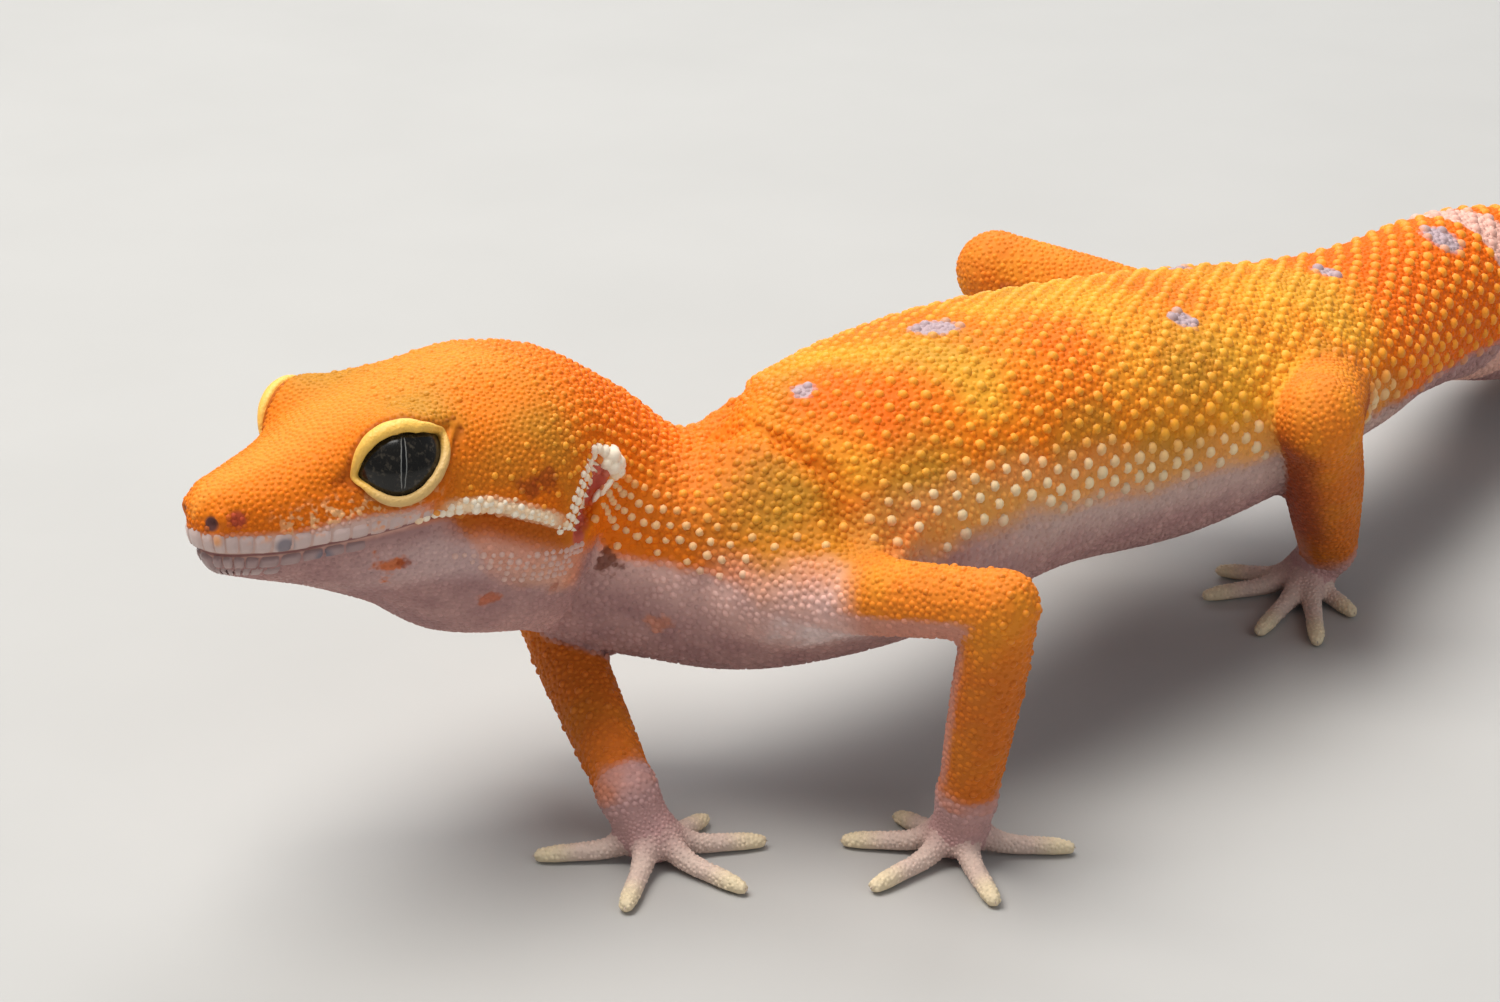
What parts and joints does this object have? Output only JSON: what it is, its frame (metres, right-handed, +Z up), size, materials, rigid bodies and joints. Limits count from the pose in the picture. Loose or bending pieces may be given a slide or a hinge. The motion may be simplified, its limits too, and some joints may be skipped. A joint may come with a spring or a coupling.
{
  "type": "leopard gecko model",
  "caption": "Life-size still model of an orange leopard gecko, raised on its forelegs with its head up and its tail resting on the floor.",
  "frame": {"origin": "centre of the bounding box in plan, on the floor the feet rest on", "axes": "+Z up; the head points along -Y and the tail along +Y; the animal's left side is +X"},
  "size_m": [0.0446, 0.1786, 0.0317],
  "materials": {
    "skin_orange": "matt granular reptile skin, orange with yellow bands",
    "skin_tail": "matt reptile skin, orange towards pale bands",
    "skin_pale": "matt thin reptile skin, pinkish mauve",
    "eye_gloss": "wet gloss, near black"
  },
  "bodies": {
    "root": {"head": "skin_orange", "neck": "skin_orange", "trunk_front": "skin_orange", "trunk_rear": "skin_orange", "hips": "skin_orange", "tail_base": "skin_orange", "upper_arm_left": "skin_orange", "upper_arm_right": "skin_orange", "forearm_left": "skin_orange", "forearm_right": "skin_orange", "thigh_left": "skin_orange", "thigh_right": "skin_orange", "shin_left": "skin_orange", "shin_right": "skin_orange", "tail_middle": "skin_tail", "tail_end": "skin_tail", "lower_jaw": "skin_pale", "hand_left": "skin_pale", "hand_right": "skin_pale", "foot_left": "skin_pale", "foot_right": "skin_pale", "eye_left": "eye_gloss", "eye_right": "eye_gloss"}
  },
  "joints": []
}
